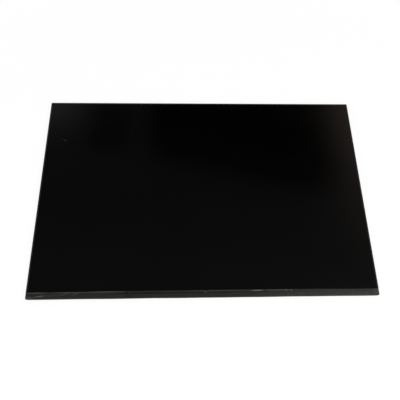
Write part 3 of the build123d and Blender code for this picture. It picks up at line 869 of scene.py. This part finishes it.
def tape_row(section, x, turn):
    """Give the tape's points at one place along it: its section, creased and turned round the corner."""
    pull = plan_corner * (1 - math.cos(math.radians(turn)))
    front = bulge(x)
    dip = lap_dip(x)
    drop = end_drop(x)
    row = []
    for index, (edge, z) in enumerate(section):
        forward, upward = facing(section, index)
        lapped = max(edge - step_edge, 0.0) / (lap_edge - step_edge)
        fullness = ease((z - wall_low) / (wall_high - wall_low))
        moved_edge = edge + pull * max(1 - edge / corner_reach, 0.0)
        moved_edge -= forward * front * fullness + dip * lapped
        lift = upward * relief(x, edge)
        on_top = edge > front_bend and z > strip_z - tape_t
        highest = (z if on_top else strip_z) + lift
        moved_z = min(max(z + lift, tape_low.z + drop), highest - drop)
        row.append((x, tape_low.y + moved_edge, moved_z))
    return row


def make_lower_tape():
    """Make the lower tape: one creased film, folded round the edge and its two corners."""
    section = tape_section()
    shape = bmesh.new()
    rows = []
    for x, turn in tape_stations():
        rows.append([shape.verts.new(point) for point in tape_row(section, x, turn)])
    for row, following in zip(rows, rows[1:]):
        for index in range(len(section) - 1):
            shape.faces.new((row[index], following[index], following[index + 1], row[index + 1]))
    shape.faces.new(rows[0])
    shape.faces.new(reversed(rows[-1]))
    bmesh.ops.recalc_face_normals(shape, faces=shape.faces)
    tape = add_piece("folded_lower_tape", shape, "grey_tape")
    skin = tape.modifiers.new("thickness", "SOLIDIFY")
    skin.thickness = tape_t
    skin.offset = -1
    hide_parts("lower_edge_tape")


def make_camera():
    """Place the camera as it stood in the photograph."""
    turn = Matrix.Rotation(-camera_yaw, 3, "Z")
    forward = Vector((0, math.cos(camera_pitch), -math.sin(camera_pitch)))
    level = Vector((1, 0, 0))
    upright = Vector((0, math.sin(camera_pitch), math.cos(camera_pitch)))
    right = math.cos(camera_roll) * level + math.sin(camera_roll) * upright
    up = math.cos(camera_roll) * upright - math.sin(camera_roll) * level
    place = camera_aim - camera_distance * forward
    lens = bpy.data.cameras.new("camera")
    lens.sensor_width = sensor_mm
    lens.lens = focal_px / image_px * sensor_mm
    camera = bpy.data.objects.new("camera", lens)
    axes = Matrix((turn @ right, turn @ up, turn @ -forward)).transposed()
    camera.matrix_world = Matrix.Translation(turn @ place) @ axes.to_4x4()
    bpy.context.scene.collection.objects.link(camera)
    bpy.context.scene.camera = camera


def make_floor():
    """Lay a white floor that keeps the panel's soft shadow."""
    material = bpy.data.materials.new("floor")
    material.use_nodes = True
    graph = Graph(material.node_tree, "Object")
    graph.tree.nodes.remove(graph.tree.nodes["Principled BSDF"])
    paper = graph.mix(graph.noise(floor_mottle), grey(floor_greys[0]), grey(floor_greys[1]))
    diffuse = graph.add("ShaderNodeBsdfDiffuse", {"Color": paper}).outputs[0]
    glow = graph.add("ShaderNodeEmission", {"Color": grey(1.0), "Strength": 1.0}).outputs[0]
    rays = graph.add("ShaderNodeLightPath").outputs
    seen = graph.total(rays["Is Camera Ray"], rays["Is Glossy Ray"], rays["Is Transmission Ray"])
    distance = graph.add("ShaderNodeVectorMath", {0: graph.place}, operation="LENGTH").outputs["Value"]
    white = graph.smooth(distance, *floor_fade, floor_white_near, 1.0)
    share = graph.product(graph.math("MINIMUM", seen, 1.0), white)
    floor_shader = graph.add("ShaderNodeMixShader", {0: share, 1: diffuse, 2: glow}).outputs[0]
    graph.feed(graph.tree.nodes["Material Output"].inputs["Surface"], floor_shader)
    shape = bmesh.new()
    bmesh.ops.create_grid(shape, x_segments=floor_cells, y_segments=floor_cells, size=floor_reach)
    mesh = bpy.data.meshes.new("floor")
    shape.to_mesh(mesh)
    shape.free()
    mesh.materials.append(material)
    floor = bpy.data.objects.new("floor", mesh)
    floor.location.z = cad_box[0][2] - floor_gap
    bpy.context.scene.collection.objects.link(floor)


def make_lamp(name, place, target, size, power):
    """Hang a soft square lamp that faces a point of the panel, which doesn't mirror it."""
    light = bpy.data.lights.new(name, "AREA")
    light.size = size
    light.energy = power
    lamp = bpy.data.objects.new(name, light)
    lamp.location = place
    lamp.rotation_euler = (target - place).to_track_quat("-Z", "Y").to_euler()
    lamp.visible_camera = False
    lamp.visible_glossy = False
    bpy.context.scene.collection.objects.link(lamp)


def ceiling_shade(graph, across, away):
    """Give the share of the ceiling's light that its dark parts take away."""
    slope = graph.total(away, graph.product(across, slanted_slope))
    sides = graph.product(graph.smooth(across, *slanted_left), graph.smooth(across, *slanted_right))
    slanted = graph.product(sides, graph.smooth(slope, *slanted_away), slanted_depth)
    narrow = graph.between(across, *narrow_across, narrow_softness)
    narrow = graph.product(narrow, graph.smooth(away, *narrow_away), narrow_depth)
    back = graph.smooth(away, *back_away, 0.0, back_depth)
    return graph.math("MAXIMUM", graph.math("MAXIMUM", slanted, narrow), back)


def plain_ceiling(graph, across, away):
    """Give the ceiling's light without its glows, which is paler over the viewer."""
    level = graph.smooth(away, *ceiling_away, *ceiling_levels)
    near = graph.product(graph.smooth(away, *near_away), graph.smooth(across, *near_across, *near_levels))
    lit = graph.math("SUBTRACT", 1.0, ceiling_shade(graph, across, away))
    return graph.product(graph.total(level, near), lit)


def pale_glows(graph, across, away):
    """Give the light of the ceiling's pale glows."""
    faint = graph.smooth(across, *faint_across, 0.0, faint_level)
    faint = graph.product(faint, graph.smooth(away, *faint_away))
    front = graph.smooth(across, *front_across, 0.0, front_level)
    front = graph.product(front, graph.between(away, *front_away, front_softness))
    left = graph.smooth(away, *left_away, 0.0, left_level)
    left = graph.product(left, graph.smooth(across, *left_across))
    return graph.total(faint, front, left)


def warm_glow(graph, across, away):
    """Give the light of the ceiling's warm glow."""
    rise = graph.math("POWER", graph.smooth(across, *warm_rise), 2)
    sides = graph.product(rise, graph.smooth(across, *warm_fall))
    return graph.product(sides, graph.smooth(away, *warm_away, *warm_levels))


def make_room():
    """Make the room's soft light, from its walls and its ceiling."""
    world = bpy.data.worlds.new("room")
    bpy.context.scene.world = world
    world.use_nodes = True
    graph = Graph(world.node_tree, "Generated")
    height = graph.math("MAXIMUM", graph.axes[2], least_height)
    across = graph.math("DIVIDE", graph.axes[0], height)
    away = graph.math("DIVIDE", graph.axes[1], height)
    warm = warm_glow(graph, across, away)
    overhead = graph.total(plain_ceiling(graph, across, away), pale_glows(graph, across, away), warm)
    wall = graph.smooth(graph.axes[2], *wall_heights)
    level = graph.add("ShaderNodeMix", {0: wall, 2: overhead, 3: wall_level}, data_type="FLOAT").outputs[0]
    warmth = graph.product(graph.math("DIVIDE", warm, overhead), graph.math("SUBTRACT", 1.0, wall))
    background = graph.tree.nodes["Background"].inputs
    graph.feed(background["Strength"], level)
    graph.feed(background["Color"], graph.mix(warmth, grey(1.0), rgb(*warm_tint)))


dress_nodes()
make_lower_tape()
make_camera()
make_floor()
for lamp_values in studio_lamps:
    make_lamp(*lamp_values)
make_room()
bpy.context.scene.view_settings.view_transform = "Standard"
